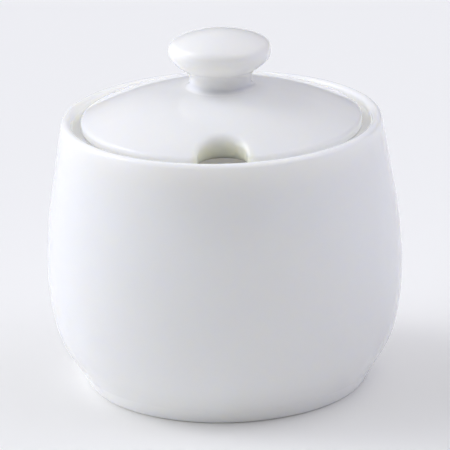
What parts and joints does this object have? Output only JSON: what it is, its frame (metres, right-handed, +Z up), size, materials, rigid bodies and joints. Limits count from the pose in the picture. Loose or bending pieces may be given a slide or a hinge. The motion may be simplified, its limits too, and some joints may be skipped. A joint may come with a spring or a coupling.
{
  "type": "covered sugar bowl",
  "caption": "Round pot-bellied sugar bowl with a recessed domed lid, a flattened knob to lift it by, and a spoon notch in the lid's front edge.",
  "frame": {"origin": "middle of the foot's contact plane, on the axis of revolution", "axes": "+Z up along the axis of revolution; the lid's spoon notch faces -Y"},
  "size_m": [0.094, 0.094, 0.0953],
  "materials": {
    "glazed_china": "clear gloss glaze over white bone china"
  },
  "bodies": {
    "bowl_body": {"bowl": "glazed_china"},
    "lid_body": {"lid": "glazed_china", "lid_knob": "glazed_china"}
  },
  "joints": [
    {"name": "lid_lift", "type": "slide", "parent": "bowl_body", "child": "lid_body", "axis": [0, 0, 1], "range_m": [0, 0.06]}
  ]
}
